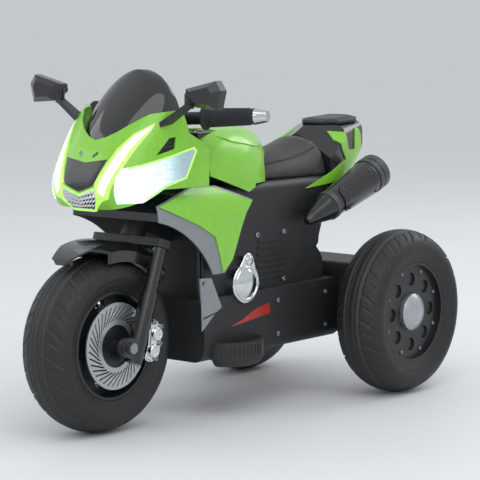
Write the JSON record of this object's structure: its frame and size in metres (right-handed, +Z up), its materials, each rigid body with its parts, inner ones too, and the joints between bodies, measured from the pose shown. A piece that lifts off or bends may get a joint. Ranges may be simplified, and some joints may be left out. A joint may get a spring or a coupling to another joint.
{
  "type": "child's electric three-wheel motorbike",
  "caption": "Child's battery ride-on motorbike with a raked steering fork, faired head with lamps and screen, tank, saddle, side mufflers and paired rear wheels.",
  "frame": {"origin": "on the ground under the middle of the wheelbase, on the centre plane", "axes": "-Y is forward, +X is the rider's left, +Z is up"},
  "size_m": [0.4676, 0.917, 0.6074],
  "materials": {
    "lime_gloss": "glossy moulded lime green",
    "black_gloss": "glossy moulded black",
    "black_matte": "fine grained black",
    "grey_plastic": "light grey moulded",
    "tyre_black": "dull black",
    "rim_black": "satin black",
    "silver": "satin silver",
    "chrome": "bright plated",
    "steel": "plain steel",
    "smoked": "dark smoked clear plastic",
    "lamp_lens": "clear lens, lit behind",
    "lamp_strip": "white lit strip",
    "red_lens": "red lens",
    "mirror": "silvered",
    "grip_rubber": "soft black",
    "seat_cover": "black moulded saddle cover",
    "cell_case": "plain case"
  },
  "bodies": {
    "frame": {"head_tube": "black_matte", "lower_tub": "black_matte", "middle_shell_left": "black_matte", "middle_shell_right": "black_matte", "side_fairings": "grey_plastic", "side_panels": "lime_gloss", "front_cowl": "black_gloss", "accent_plates": "grey_plastic", "tank_cover": "lime_gloss", "dashboard": "black_gloss", "seat": "seat_cover", "tail_cowl": "black_gloss", "tail_pad": "seat_cover", "tail_trims": "lime_gloss", "tail_lamp": "red_lens", "mufflers": "black_gloss", "muffler_tips": "grey_plastic", "engine_covers": "chrome", "axle_housing": "black_matte", "gearboxes": "black_matte", "motors": "steel", "battery": "cell_case", "speaker": "black_matte", "body_screws": "steel", "rear_axle": "steel"},
    "steering": {"fork_legs": "black_gloss", "fork_crown": "black_matte", "steering_column": "steel", "front_axle": "steel", "brake_calipers": "chrome", "head_fairing": "lime_gloss", "nose_panel": "lime_gloss", "daylight_strips": "lamp_strip", "headlamp_lenses": "lamp_lens", "centre_lamp": "chrome", "windscreen": "smoked", "head_bracket": "black_matte", "handlebar": "black_matte", "grips": "grip_rubber", "bar_ends": "silver", "mirror_stalks": "black_matte", "front_fender": "black_gloss"},
    "front_wheel": {"front_tyre": "tyre_black", "front_rim": "rim_black", "brake_discs": "silver"},
    "rear_wheel_left": {"rear_tyre_left": "tyre_black", "rear_rim_left": "rim_black", "hub_cap_left": "silver"},
    "rear_wheel_right": {"rear_tyre_right": "tyre_black", "rear_rim_right": "rim_black", "hub_cap_right": "silver"},
    "mirror_left": {"mirror_housing_left": "black_gloss", "mirror_glass_left": "mirror"},
    "mirror_right": {"mirror_housing_right": "black_gloss", "mirror_glass_right": "mirror"},
    "power_button": {"power_button": "red_lens"},
    "sound_button": {"sound_button": "grey_plastic"},
    "direction_rocker": {"direction_rocker": "black_matte"},
    "accelerator_pedal": {"accelerator_pedal": "grey_plastic"}
  },
  "joints": [
    {"name": "steering_turn", "type": "hinge", "parent": "frame", "child": "steering", "pos_m": [0, -0.28545, 0.14179], "axis": [0, 0.342, 0.9397], "range_deg": [-18, 18]},
    {"name": "front_wheel_spin", "type": "hinge", "parent": "steering", "child": "front_wheel", "pos_m": [0, -0.308, 0.15], "axis": [1, 0, 0], "continuous": true},
    {"name": "rear_wheel_left_spin", "type": "hinge", "parent": "frame", "child": "rear_wheel_left", "pos_m": [0.186, 0.308, 0.151], "axis": [1, 0, 0], "continuous": true},
    {"name": "rear_wheel_right_spin", "type": "hinge", "parent": "frame", "child": "rear_wheel_right", "pos_m": [-0.186, 0.308, 0.151], "axis": [1, 0, 0], "continuous": true},
    {"name": "mirror_left_fold", "type": "hinge", "parent": "steering", "child": "mirror_left", "pos_m": [0.1468, -0.24095, 0.5525], "axis": [0, 0, 1], "range_deg": [-15, 45]},
    {"name": "mirror_right_fold", "type": "hinge", "parent": "steering", "child": "mirror_right", "pos_m": [-0.1468, -0.24095, 0.5525], "axis": [0, 0, -1], "range_deg": [-15, 45]},
    {"name": "power_button_press", "type": "slide", "parent": "frame", "child": "power_button", "axis": [0, 0, -1], "range_m": [0, 0.002], "stiffness_N_per_m": 300, "springref_m": -0.001},
    {"name": "sound_button_press", "type": "slide", "parent": "frame", "child": "sound_button", "axis": [0, 0, -1], "range_m": [0, 0.002], "stiffness_N_per_m": 300, "springref_m": -0.001},
    {"name": "direction_rocker_tilt", "type": "hinge", "parent": "frame", "child": "direction_rocker", "pos_m": [0, -0.066, 0.488], "axis": [1, 0, 0], "range_deg": [-8, 8]},
    {"name": "accelerator_press", "type": "hinge", "parent": "frame", "child": "accelerator_pedal", "pos_m": [-0.1145, -0.034, 0.146], "axis": [1, 0, 0], "range_deg": [0, 10], "stiffness_Nm_per_rad": 0.8, "springref_deg": -5.73}
  ]
}
